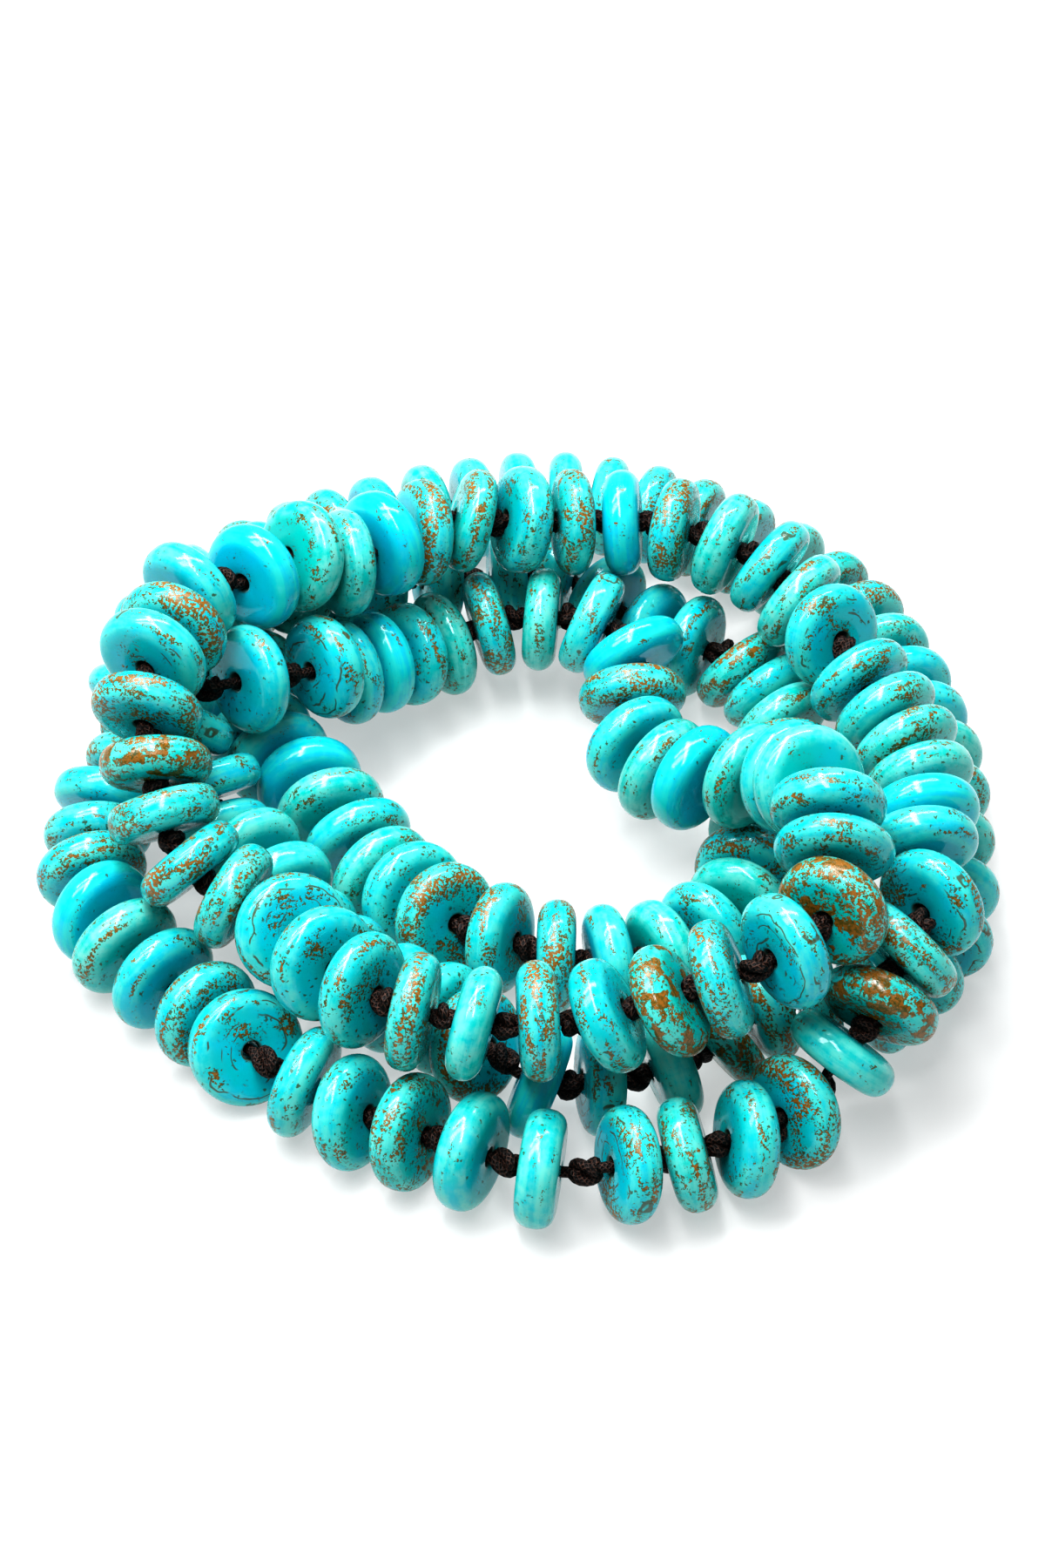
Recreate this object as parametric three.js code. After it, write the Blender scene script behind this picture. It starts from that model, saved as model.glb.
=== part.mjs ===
// A long endless necklace of rounded stone discs, knotted one by one on a braided cord.
// It has no clasp. It lies on a flat surface as it was laid down, coiled in four turns.
// Millimetres, +Z up. The surface is z = 0, and x = 0, y = 0 is the middle of the floor it covers.

import * as THREE from 'three';

// Driving sizes
const BEAD_DIAMETER = 15;
const BEAD_THICKNESS = 5.2;
const BEAD_FACE_DIAMETER = 10.6;
const BEAD_SIDES = 10;
const CORD_DIAMETER = 1.6;
const KNOT_DIAMETER = 3.4;
const CORD_SIDES = 5;
const CLEARANCE = 0.3;

// How the coil settles: the air between the discs, the pull back to the route and the sag of each step
const SETTLE_STEPS = 500;
const SETTLE_PULL = 0.05;
const SETTLE_SAG = 0.02;
const CONTACT_ROUNDS = 6;

// The route of the string, clockwise seen from above, as chosen points. Each row is a bead, by its
// number, with the place of its middle (mm) and its lift above a disc that stands on the surface.
// The places are from a point in the hollow of the coil, and the whole is centred afterwards.
// The beads between two rows are spread evenly along a smooth curve.
const ROUTE = [
  { bead: 0, x: 2, y: -63, lift: 0 },
  { bead: 3, x: -21, y: -53, lift: 0 },
  { bead: 6, x: -40, y: -37, lift: 0 },
  { bead: 9, x: -55, y: -17, lift: 0 },
  { bead: 11, x: -56, y: -3, lift: 0 },
  { bead: 12, x: -54, y: 4, lift: 0 },
  { bead: 13, x: -52, y: 11, lift: 0 },
  { bead: 15, x: -50, y: 23, lift: 3 },
  { bead: 16, x: -47, y: 27, lift: 8 },
  { bead: 17, x: -42, y: 29, lift: 13 },
  { bead: 19, x: -32, y: 34, lift: 13 },
  { bead: 21, x: -20, y: 43, lift: 4 },
  { bead: 24, x: 5, y: 49, lift: 0 },
  { bead: 26, x: 18, y: 38, lift: 0 },
  { bead: 28, x: 30, y: 31, lift: 0 },
  { bead: 30, x: 36, y: 18, lift: 2 },
  { bead: 33, x: 31, y: -4, lift: 0 },
  { bead: 35, x: 27, y: -18, lift: 0 },
  { bead: 38, x: 12, y: -27, lift: 0 },
  { bead: 41, x: -10, y: -22, lift: 2 },
  { bead: 44, x: -26, y: -5, lift: 0 },
  { bead: 46, x: -31, y: 6, lift: 0 },
  { bead: 48, x: -36, y: 18, lift: 0 },
  { bead: 50, x: -40, y: 28, lift: 0 },
  { bead: 52, x: -42, y: 40, lift: 0 },
  { bead: 54, x: -38, y: 52, lift: 0 },
  { bead: 56, x: -28, y: 59, lift: 0 },
  { bead: 58, x: -14, y: 65, lift: 0 },
  { bead: 61, x: 6, y: 68, lift: 0 },
  { bead: 64, x: 25, y: 62, lift: 0 },
  { bead: 67, x: 43, y: 46, lift: 0 },
  { bead: 70, x: 52, y: 25, lift: 1 },
  { bead: 73, x: 55, y: 3, lift: 1 },
  { bead: 76, x: 53, y: -23, lift: 0 },
  { bead: 78, x: 43, y: -34, lift: 0 },
  { bead: 80, x: 32, y: -36, lift: 1 },
  { bead: 82, x: 18, y: -46, lift: 0 },
  { bead: 84, x: 1, y: -48, lift: 0 },
  { bead: 86, x: -9, y: -38, lift: 1 },
  { bead: 88, x: -23, y: -28, lift: 0 },
  { bead: 90, x: -29, y: -15, lift: 1 },
  { bead: 92, x: -38, y: -2, lift: 2 },
  { bead: 93, x: -41, y: 3, lift: 5 },
  { bead: 94, x: -41, y: 6, lift: 8 },
  { bead: 95, x: -37, y: 11, lift: 11 },
  { bead: 96, x: -30, y: 16, lift: 11 },
  { bead: 97, x: -24, y: 22, lift: 8 },
  { bead: 98, x: -19, y: 27, lift: 5 },
  { bead: 99, x: -15, y: 31, lift: 3 },
  { bead: 100, x: -11, y: 35, lift: 2 },
  { bead: 102, x: 2, y: 36, lift: 5 },
  { bead: 104, x: 14, y: 26, lift: 8 },
  { bead: 106, x: 15, y: 8, lift: 6 },
  { bead: 108, x: 23, y: -5, lift: 11 },
  { bead: 110, x: 34, y: -13, lift: 19 },
  { bead: 112, x: 37, y: -26, lift: 26 },
  { bead: 114, x: 37, y: -42, lift: 23 },
  { bead: 116, x: 25, y: -48, lift: 18 },
  { bead: 118, x: 10, y: -51, lift: 14 },
  { bead: 120, x: -6, y: -52, lift: 14 },
  { bead: 122, x: -20, y: -45, lift: 12 },
  { bead: 124, x: -30, y: -33, lift: 12 },
  { bead: 126, x: -42, y: -22, lift: 12 },
  { bead: 128, x: -47, y: -10, lift: 18 },
  { bead: 130, x: -48, y: 1, lift: 26 },
  { bead: 132, x: -42, y: 16, lift: 24 },
  { bead: 133, x: -36, y: 21, lift: 23 },
  { bead: 134, x: -30, y: 25, lift: 21 },
  { bead: 135, x: -26, y: 29, lift: 19 },
  { bead: 136, x: -20, y: 35, lift: 18 },
  { bead: 138, x: -7, y: 42, lift: 17 },
  { bead: 140, x: 6, y: 42, lift: 16 },
  { bead: 142, x: 21, y: 44, lift: 14 },
  { bead: 144, x: 34, y: 36, lift: 14 },
  { bead: 146, x: 41, y: 21, lift: 13 },
  { bead: 148, x: 48, y: 6, lift: 13 },
  { bead: 150, x: 51, y: -9, lift: 15 },
  { bead: 152, x: 50, y: -25, lift: 16 },
  { bead: 154, x: 47, y: -40, lift: 13 },
  { bead: 156, x: 39, y: -48, lift: 5 },
  { bead: 158, x: 28, y: -57, lift: 0 },
  { bead: 160, x: 13, y: -63, lift: 1 },
];
// How far the discs lean on the cord, as chosen rows too. yaw and tip (degrees) turn the face of a
// disc from the run of the cord, about the upright and about the level line across it.
const LEANS = [
  { bead: 0, yaw: 0, tip: 5 },
  { bead: 2, yaw: -5, tip: -10 },
  { bead: 3, yaw: 5, tip: -15 },
  { bead: 4, yaw: 15, tip: 10 },
  { bead: 5, yaw: -20, tip: -30 },
  { bead: 6, yaw: -5, tip: -10 },
  { bead: 8, yaw: 0, tip: 10 },
  { bead: 9, yaw: 20, tip: -5 },
  { bead: 10, yaw: 10, tip: 15 },
  { bead: 12, yaw: 5, tip: 25 },
  { bead: 14, yaw: 0, tip: 0 },
  { bead: 27, yaw: 0, tip: 0 },
  { bead: 28, yaw: -5, tip: -30 },
  { bead: 30, yaw: 30, tip: -20 },
  { bead: 32, yaw: 0, tip: 0 },
  { bead: 39, yaw: 10, tip: -5 },
  { bead: 41, yaw: -15, tip: -20 },
  { bead: 43, yaw: 5, tip: 5 },
  { bead: 44, yaw: -5, tip: 15 },
  { bead: 46, yaw: -20, tip: 0 },
  { bead: 48, yaw: 0, tip: 0 },
  { bead: 80, yaw: 0, tip: -10 },
  { bead: 81, yaw: -5, tip: -25 },
  { bead: 82, yaw: -5, tip: -10 },
  { bead: 84, yaw: 5, tip: 15 },
  { bead: 85, yaw: 5, tip: -25 },
  { bead: 87, yaw: 0, tip: 0 },
  { bead: 94, yaw: 0, tip: 0 },
  { bead: 95, yaw: 10, tip: -20 },
  { bead: 96, yaw: 0, tip: 15 },
  { bead: 97, yaw: -20, tip: 25 },
  { bead: 98, yaw: -10, tip: 10 },
  { bead: 100, yaw: 0, tip: 0 },
  { bead: 101, yaw: 10, tip: -5 },
  { bead: 102, yaw: 10, tip: -15 },
  { bead: 103, yaw: 20, tip: -25 },
  { bead: 105, yaw: 5, tip: -20 },
  { bead: 106, yaw: 20, tip: -5 },
  { bead: 107, yaw: 15, tip: -25 },
  { bead: 109, yaw: -10, tip: -25 },
  { bead: 111, yaw: 10, tip: 5 },
  { bead: 112, yaw: -10, tip: -30 },
  { bead: 113, yaw: -5, tip: -5 },
  { bead: 114, yaw: -5, tip: 25 },
  { bead: 115, yaw: 10, tip: 20 },
  { bead: 116, yaw: -10, tip: 0 },
  { bead: 117, yaw: -10, tip: -20 },
  { bead: 118, yaw: -5, tip: -25 },
  { bead: 119, yaw: 0, tip: 0 },
  { bead: 120, yaw: 0, tip: 15 },
  { bead: 121, yaw: 15, tip: 10 },
  { bead: 122, yaw: 5, tip: -5 },
  { bead: 123, yaw: 0, tip: -15 },
  { bead: 124, yaw: -15, tip: -30 },
  { bead: 125, yaw: 15, tip: 15 },
  { bead: 127, yaw: 0, tip: 15 },
  { bead: 129, yaw: -15, tip: -15 },
  { bead: 131, yaw: -5, tip: 5 },
  { bead: 132, yaw: 0, tip: 10 },
  { bead: 133, yaw: 20, tip: -5 },
  { bead: 134, yaw: 5, tip: -10 },
  { bead: 135, yaw: -20, tip: 10 },
  { bead: 136, yaw: -5, tip: 5 },
  { bead: 138, yaw: -15, tip: -15 },
  { bead: 139, yaw: 15, tip: -15 },
  { bead: 141, yaw: -10, tip: 15 },
  { bead: 143, yaw: 5, tip: -10 },
  { bead: 145, yaw: 25, tip: -20 },
  { bead: 146, yaw: 10, tip: 20 },
  { bead: 147, yaw: 10, tip: -15 },
  { bead: 149, yaw: 15, tip: -25 },
  { bead: 152, yaw: 5, tip: -15 },
  { bead: 153, yaw: -30, tip: 10 },
  { bead: 154, yaw: -25, tip: -10 },
  { bead: 155, yaw: 15, tip: 15 },
  { bead: 156, yaw: 0, tip: -5 },
  { bead: 157, yaw: 0, tip: 30 },
  { bead: 158, yaw: -15, tip: 10 },
  { bead: 159, yaw: -10, tip: -15 },
  { bead: 160, yaw: 10, tip: 10 },
];
const BEAD_COUNT = 161;
// The two solids that make the string: the turns laid first, and those laid on them
const STRING_SPANS = [
  { name: 'bead_string_lower', first: 0, last: 80 },
  { name: 'bead_string_upper', first: 81, last: BEAD_COUNT - 1 },
];

const BEAD_RADIUS = BEAD_DIAMETER / 2;
const RIM_RADIUS = BEAD_THICKNESS / 2;
const CORE_RADIUS = BEAD_RADIUS - RIM_RADIUS;
const UP = new THREE.Vector3(0, 0, 1);

// One column of the closed table, at a bead number: a cubic between two rows whose slopes at the
// rows come from the rows beside them.
function alongRows(rows, column, bead) {
  let i = 0;
  while (i + 1 < rows.length && rows[i + 1].bead <= bead) i += 1;
  const at = (k) => {
    const lap = Math.floor(k / rows.length);
    const row = rows[k - lap * rows.length];
    return { t: row.bead + lap * BEAD_COUNT, v: row[column] };
  };
  const [p, q, r, s] = [at(i - 1), at(i), at(i + 1), at(i + 2)];
  const span = r.t - q.t;
  const u = (bead - q.t) / span;
  const slopeIn = ((r.v - p.v) / (r.t - p.t)) * span;
  const slopeOut = ((s.v - q.v) / (s.t - q.t)) * span;
  const h = u * u * (3 - 2 * u);
  return q.v + (r.v - q.v) * h + slopeIn * u * (1 - u) * (1 - u) - slopeOut * u * u * (1 - u);
}

// The facing of each bead: along the line between its neighbours, turned by its yaw and its tip.
function facings(middles, turns) {
  return middles.map((middle, k) => {
    const before = middles[(k + BEAD_COUNT - 1) % BEAD_COUNT];
    const after = middles[(k + 1) % BEAD_COUNT];
    const facing = after.clone().sub(before).normalize();
    const across = facing.clone().cross(UP).normalize();
    facing.applyAxisAngle(across, turns[k].tip);
    return facing.applyAxisAngle(UP, turns[k].yaw);
  });
}

// The point of a flat disc that is nearest to a given point.
function nearestOnDisc(point, middle, facing) {
  const way = point.clone().sub(middle);
  way.addScaledVector(facing, -way.dot(facing));
  const reach = way.length();
  if (reach > CORE_RADIUS) way.multiplyScalar(CORE_RADIUS / reach);
  return way.add(middle);
}

// The shortest line between two flat discs, found by going to and fro between them.
function betweenDiscs(middleA, facingA, middleB, facingB) {
  let onA = middleA.clone();
  let onB = onA;
  for (let round = 0; round < CONTACT_ROUNDS; round += 1) {
    onB = nearestOnDisc(onA, middleB, facingB);
    onA = nearestOnDisc(onB, middleA, facingA);
  }
  return onA.sub(onB);
}

// Beads start on the route. At each step those that press on another are moved apart, each one
// sags a little, is pulled back to the route, and is kept on the surface.
function settle() {
  const home = [];
  const turns = [];
  for (let k = 0; k < BEAD_COUNT; k += 1) {
    const height = alongRows(ROUTE, 'lift', k) + BEAD_RADIUS;
    home.push(new THREE.Vector3(alongRows(ROUTE, 'x', k), alongRows(ROUTE, 'y', k), height));
    turns.push({
      yaw: THREE.MathUtils.degToRad(alongRows(LEANS, 'yaw', k)),
      tip: THREE.MathUtils.degToRad(alongRows(LEANS, 'tip', k)),
    });
  }
  const middles = home.map((place) => place.clone());
  const touching = BEAD_THICKNESS + CLEARANCE;
  for (let step = 0; step < SETTLE_STEPS; step += 1) {
    const facing = facings(middles, turns);
    const shift = middles.map(() => new THREE.Vector3());
    const presses = middles.map(() => 0);
    for (let a = 0; a < BEAD_COUNT; a += 1) {
      for (let b = a + 1; b < BEAD_COUNT; b += 1) {
        if (middles[a].distanceTo(middles[b]) > BEAD_DIAMETER + CLEARANCE) continue;
        const between = betweenDiscs(middles[a], facing[a], middles[b], facing[b]);
        const gap = between.length();
        if (gap >= touching) continue;
        const way = gap > 1e-6 ? between.divideScalar(gap) : middles[a].clone().sub(middles[b]).normalize();
        shift[a].addScaledVector(way, (touching - gap) / 2);
        shift[b].addScaledVector(way, (gap - touching) / 2);
        presses[a] += 1;
        presses[b] += 1;
      }
    }
    const ease = 1 - step / SETTLE_STEPS;
    middles.forEach((middle, k) => {
      middle.addScaledVector(shift[k], 1 / Math.max(presses[k], 1));
      middle.addScaledVector(home[k].clone().sub(middle), SETTLE_PULL * ease);
      middle.z -= SETTLE_SAG * ease;
      const standing = CORE_RADIUS * Math.sqrt(1 - facing[k].z * facing[k].z) + RIM_RADIUS;
      middle.z = Math.max(middle.z, standing);
    });
  }
  return centred({ middles, facing: facings(middles, turns) });
}

// Moves the string so that the origin is in the middle of the floor that it covers.
function centred(string) {
  for (const side of ['x', 'y']) {
    const reaches = string.facing.map((f) => CORE_RADIUS * Math.sqrt(1 - f[side] * f[side]) + RIM_RADIUS);
    const low = Math.min(...string.middles.map((middle, k) => middle[side] - reaches[k]));
    const high = Math.max(...string.middles.map((middle, k) => middle[side] + reaches[k]));
    for (const middle of string.middles) middle[side] -= (low + high) / 2;
  }
  return string;
}

// Rings of points that are zipped one to the next along the string, and closed at both ends.
class RingChain {
  constructor() {
    this.points = [];
    this.triangles = [];
    this.last = null;
    this.side = new THREE.Vector3(1, 0, 0);
  }

  // Adds a ring about an axis. Its first point keeps the side of the ring before it.
  ring(middle, axis, radius, sides) {
    this.side.addScaledVector(axis, -this.side.dot(axis)).normalize();
    const other = axis.clone().cross(this.side);
    const ring = [];
    for (let i = 0; i < sides; i += 1) {
      const angle = (2 * Math.PI * i) / sides;
      const point = middle.clone();
      point.addScaledVector(this.side, radius * Math.cos(angle));
      point.addScaledVector(other, radius * Math.sin(angle));
      ring.push(this.points.length);
      this.points.push(point);
    }
    if (this.last) this.zip(this.last, ring);
    else this.cap(ring.slice().reverse());
    this.last = ring;
  }

  zip(from, to) {
    const [m, n] = [from.length, to.length];
    let i = 0;
    let j = 0;
    while (i < m || j < n) {
      if ((i + 1) * n <= (j + 1) * m) {
        this.triangles.push(from[i % m], from[(i + 1) % m], to[j % n]);
        i += 1;
      } else {
        this.triangles.push(from[i % m], to[(j + 1) % n], to[j % n]);
        j += 1;
      }
    }
  }

  cap(ring) {
    for (let i = 1; i + 1 < ring.length; i += 1) this.triangles.push(ring[0], ring[i], ring[i + 1]);
  }

  geometry() {
    this.cap(this.last);
    const geometry = new THREE.BufferGeometry();
    geometry.setFromPoints(this.points);
    geometry.setIndex(this.triangles);
    return geometry;
  }
}

// The middle of the knot after a bead, half way between the faces of that bead and the next.
function knotAfter(string, k) {
  const next = (k + 1) % BEAD_COUNT;
  const leaving = string.middles[k].clone().addScaledVector(string.facing[k], RIM_RADIUS);
  const entering = string.middles[next].clone().addScaledVector(string.facing[next], -RIM_RADIUS);
  const axis = string.facing[k].clone().add(string.facing[next]).normalize();
  return { middle: leaving.add(entering).multiplyScalar(0.5), axis };
}

// A stretch of the string as one body: cord, disc, cord, knot, over and over. A stretch begins and
// ends in the middle of a knot, half the clearance short of it.
function stringBody(string, first, last) {
  const chain = new RingChain();
  const knotRadius = KNOT_DIAMETER / 2;
  const start = knotAfter(string, (first + BEAD_COUNT - 1) % BEAD_COUNT);
  start.middle.addScaledVector(start.axis, CLEARANCE / 2);
  chain.ring(start.middle, start.axis, knotRadius, CORD_SIDES);
  for (let k = first; k <= last; k += 1) {
    const axis = string.facing[k];
    const at = (along) => string.middles[k].clone().addScaledVector(axis, along);
    chain.ring(at(-RIM_RADIUS), axis, CORD_DIAMETER / 2, CORD_SIDES);
    chain.ring(at(-RIM_RADIUS), axis, BEAD_FACE_DIAMETER / 2, BEAD_SIDES);
    chain.ring(at(0), axis, BEAD_RADIUS, BEAD_SIDES);
    chain.ring(at(RIM_RADIUS), axis, BEAD_FACE_DIAMETER / 2, BEAD_SIDES);
    chain.ring(at(RIM_RADIUS), axis, CORD_DIAMETER / 2, CORD_SIDES);
    const knot = knotAfter(string, k);
    if (k === last) knot.middle.addScaledVector(knot.axis, -CLEARANCE / 2);
    chain.ring(knot.middle, knot.axis, knotRadius, CORD_SIDES);
  }
  return chain.geometry();
}

function stoneMaterial() {
  return new THREE.MeshStandardMaterial({ color: 0x22b3ae, roughness: 0.25, metalness: 0 });
}

function buildNecklace() {
  const string = settle();
  const necklace = new THREE.Group();
  for (const span of STRING_SPANS) {
    const mesh = new THREE.Mesh(stringBody(string, span.first, span.last), stoneMaterial());
    mesh.name = span.name;
    necklace.add(mesh);
  }
  return necklace;
}

export default buildNecklace();
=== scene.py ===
"""A long endless necklace of turquoise discs, knotted one by one on a braided cord.

It lies coiled in four turns on a white table. Every disc is a closed ring of stone whose place
and facing come from the route that the part's solids follow. The cord runs from hole to hole and
carries a knot in each gap. Lengths are in metres.
"""

import logging
import math
from dataclasses import dataclass, field
from enum import Enum
from typing import NamedTuple

import bpy
import numpy as np
from mathutils import Vector
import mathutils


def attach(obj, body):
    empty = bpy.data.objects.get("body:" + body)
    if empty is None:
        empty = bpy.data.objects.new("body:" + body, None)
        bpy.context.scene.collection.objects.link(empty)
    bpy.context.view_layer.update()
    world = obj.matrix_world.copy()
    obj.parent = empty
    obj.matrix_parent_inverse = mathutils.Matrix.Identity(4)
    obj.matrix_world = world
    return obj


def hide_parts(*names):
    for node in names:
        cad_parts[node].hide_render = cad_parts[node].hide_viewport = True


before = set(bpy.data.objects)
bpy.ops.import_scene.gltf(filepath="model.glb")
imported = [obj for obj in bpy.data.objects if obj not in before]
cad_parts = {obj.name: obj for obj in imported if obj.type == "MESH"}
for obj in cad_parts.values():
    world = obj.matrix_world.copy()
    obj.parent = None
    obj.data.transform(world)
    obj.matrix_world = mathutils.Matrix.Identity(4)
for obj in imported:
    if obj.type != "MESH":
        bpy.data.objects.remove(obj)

log = logging.getLogger("necklace")

Colour = tuple[float, float, float, float]
Triple = tuple[float, float, float]
Spread = tuple[float, float]
Socket = bpy.types.NodeSocket

MILLIMETRES = 1000.0
UP = np.array([0.0, 0.0, 1.0])
TINY = 1e-12
BRAID_MAP = "braid"

# Where a Mix node has its share, its two colours and the colour between them.
MIX_SHARE, MIX_FIRST, MIX_SECOND, MIX_RESULT = 0, 6, 7, 2


class Place(NamedTuple):
    """A chosen point of the route: a bead, the place of its middle and its lift, in millimetres."""

    bead: int
    x: float
    y: float
    lift: float


class Lean(NamedTuple):
    """How a bead turns its face from the run of the cord, in degrees."""

    bead: int
    yaw: float
    tip: float


class Ramp(NamedTuple):
    """A smooth rise from 0 at low to top at high. Where high is less than low it falls instead."""

    low: float
    high: float
    top: float = 1.0


class Cloud(NamedTuple):
    """Cloudy noise: clouds for each unit of length, finer layers, and how strong those are."""

    scale: float
    detail: float = 3.0
    rough: float = 0.55


class Relief(NamedTuple):
    """A fine relief of a surface: how strong it is, and how high in metres."""

    strength: float
    height: float


# The route of the string, as the part's source has it, in millimetres.
ROUTE = tuple(
    Place(*row)
    for row in (
        (0, 2, -63, 0), (3, -21, -53, 0), (6, -40, -37, 0), (9, -55, -17, 0), (11, -56, -3, 0),
        (12, -54, 4, 0), (13, -52, 11, 0), (15, -50, 23, 3), (16, -47, 27, 8), (17, -42, 29, 13),
        (19, -32, 34, 13), (21, -20, 43, 4), (24, 5, 49, 0), (26, 18, 38, 0), (28, 30, 31, 0),
        (30, 36, 18, 2), (33, 31, -4, 0), (35, 27, -18, 0), (38, 12, -27, 0), (41, -10, -22, 2),
        (44, -26, -5, 0), (46, -31, 6, 0), (48, -36, 18, 0), (50, -40, 28, 0), (52, -42, 40, 0),
        (54, -38, 52, 0), (56, -28, 59, 0), (58, -14, 65, 0), (61, 6, 68, 0), (64, 25, 62, 0),
        (67, 43, 46, 0), (70, 52, 25, 1), (73, 55, 3, 1), (76, 53, -23, 0), (78, 43, -34, 0),
        (80, 32, -36, 1), (82, 18, -46, 0), (84, 1, -48, 0), (86, -9, -38, 1), (88, -23, -28, 0),
        (90, -29, -15, 1), (92, -38, -2, 2), (93, -41, 3, 5), (94, -41, 6, 8), (95, -37, 11, 11),
        (96, -30, 16, 11), (97, -24, 22, 8), (98, -19, 27, 5), (99, -15, 31, 3), (100, -11, 35, 2),
        (102, 2, 36, 5), (104, 14, 26, 8), (106, 15, 8, 6), (108, 23, -5, 11), (110, 34, -13, 19),
        (112, 37, -26, 26), (114, 37, -42, 23), (116, 25, -48, 18), (118, 10, -51, 14), (120, -6, -52, 14),
        (122, -20, -45, 12), (124, -30, -33, 12), (126, -42, -22, 12), (128, -47, -10, 18), (130, -48, 1, 26),
        (132, -42, 16, 24), (133, -36, 21, 23), (134, -30, 25, 21), (135, -26, 29, 19), (136, -20, 35, 18),
        (138, -7, 42, 17), (140, 6, 42, 16), (142, 21, 44, 14), (144, 34, 36, 14), (146, 41, 21, 13),
        (148, 48, 6, 13), (150, 51, -9, 15), (152, 50, -25, 16), (154, 47, -40, 13), (156, 39, -48, 5),
        (158, 28, -57, 0), (160, 13, -63, 1),
    )
)

# The lean of the discs on the cord, as the part's source has it.
LEANS = tuple(
    Lean(*row)
    for row in (
        (0, 0, 5), (2, -5, -10), (3, 5, -15), (4, 15, 10), (5, -20, -30), (6, -5, -10),
        (8, 0, 10), (9, 20, -5), (10, 10, 15), (12, 5, 25), (14, 0, 0), (27, 0, 0),
        (28, -5, -30), (30, 30, -20), (32, 0, 0), (39, 10, -5), (41, -15, -20), (43, 5, 5),
        (44, -5, 15), (46, -20, 0), (48, 0, 0), (80, 0, -10), (81, -5, -25), (82, -5, -10),
        (84, 5, 15), (85, 5, -25), (87, 0, 0), (94, 0, 0), (95, 10, -20), (96, 0, 15),
        (97, -20, 25), (98, -10, 10), (100, 0, 0), (101, 10, -5), (102, 10, -15), (103, 20, -25),
        (105, 5, -20), (106, 20, -5), (107, 15, -25), (109, -10, -25), (111, 10, 5), (112, -10, -30),
        (113, -5, -5), (114, -5, 25), (115, 10, 20), (116, -10, 0), (117, -10, -20), (118, -5, -25),
        (119, 0, 0), (120, 0, 15), (121, 15, 10), (122, 5, -5), (123, 0, -15), (124, -15, -30),
        (125, 15, 15), (127, 0, 15), (129, -15, -15), (131, -5, 5), (132, 0, 10), (133, 20, -5),
        (134, 5, -10), (135, -20, 10), (136, -5, 5), (138, -15, -15), (139, 15, -15), (141, -10, 15),
        (143, 5, -10), (145, 25, -20), (146, 10, 20), (147, 10, -15), (149, 15, -25), (152, 5, -15),
        (153, -30, 10), (154, -25, -10), (155, 15, 15), (156, 0, -5), (157, 0, 30), (158, -15, 10),
        (159, -10, -15), (160, 10, 10),
    )
)

BEAD_COUNT = 161


class Turn(Enum):
    """A turn of the coil, by its name, its first and its last bead."""

    OUTER = ("outer", 0, 40)
    INNER = ("inner", 41, 80)
    MIDDLE = ("middle", 81, 120)
    TOP = ("top", 121, 160)

    @property
    def label(self) -> str:
        """The turn's name in the scene."""
        return self.value[0]

    @property
    def beads(self) -> np.ndarray:
        """The numbers of the turn's beads."""
        return np.arange(self.value[1], self.value[2] + 1)


class Marking(Enum):
    """What a stone shows: how much speckle, streak, crack, chalk, green and brown."""

    PLAIN = (0.28, 0.22, 0.0, 0.50, 0.25, 0.0)
    BRIGHT = (0.0, 0.0, 0.0, 0.10, 0.0, 0.0)
    SMOOTH = (0.12, 0.05, 0.0, 0.80, 0.60, 0.0)
    DOTTED = (1.0, 0.45, 0.0, 0.55, 0.45, 0.0)
    STREAKED = (0.35, 0.90, 0.1, 0.60, 0.40, 0.1)
    BANDED = (0.55, 0.75, 0.1, 0.70, 0.65, 0.35)
    BROWN = (0.80, 0.90, 0.2, 0.60, 0.70, 0.92)
    CRACKED = (0.30, 0.45, 1.0, 0.45, 0.35, 0.1)
    CHALKY = (0.30, 0.35, 0.0, 1.00, 0.90, 0.0)


# The stones that stand out, by bead number.
MARKED: dict[Marking, tuple[int, ...]] = {
    Marking.BRIGHT: (9, 46, 84, 98, 104, 108, 133, 136, 141, 151),
    Marking.SMOOTH: (0, 1, 82, 111, 120, 156),
    Marking.DOTTED: (3, 112, 113, 118, 122, 123, 147, 158),
    Marking.STREAKED: (6, 40, 101, 105, 116, 119, 126, 131, 142, 157),
    Marking.BANDED: (2, 28, 121, 125, 140, 154, 159),
    Marking.BROWN: (81, 114, 117, 128, 155),
    Marking.CRACKED: (5, 83, 96, 115, 124, 130, 153, 160),
    Marking.CHALKY: (30, 54, 58, 66, 69, 107, 134, 135, 143, 145),
}

# How often each marking falls to the other stones.
ODDS: dict[Marking, float] = {
    Marking.PLAIN: 0.34,
    Marking.DOTTED: 0.18,
    Marking.STREAKED: 0.14,
    Marking.BANDED: 0.10,
    Marking.CHALKY: 0.14,
    Marking.CRACKED: 0.10,
}


def unit(vectors: np.ndarray) -> np.ndarray:
    """Each vector divided by its length.

    Args:
        vectors: Vectors along the last axis.

    Returns:
        The same vectors with length one.
    """
    return vectors / np.linalg.norm(vectors, axis=-1, keepdims=True)


def turned(vectors: np.ndarray, axes: np.ndarray, angles: np.ndarray) -> np.ndarray:
    """Each vector turned about its axis: v cos a + (k x v) sin a + k (k . v)(1 - cos a).

    Args:
        vectors: The vectors to turn, one a row.
        axes: The unit axes, one a row.
        angles: The angles in radians, one a row.

    Returns:
        The turned vectors.
    """
    c, s = np.cos(angles)[:, None], np.sin(angles)[:, None]
    along = np.sum(vectors * axes, axis=1, keepdims=True)
    return vectors * c + np.cross(axes, vectors) * s + axes * along * (1 - c)


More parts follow.
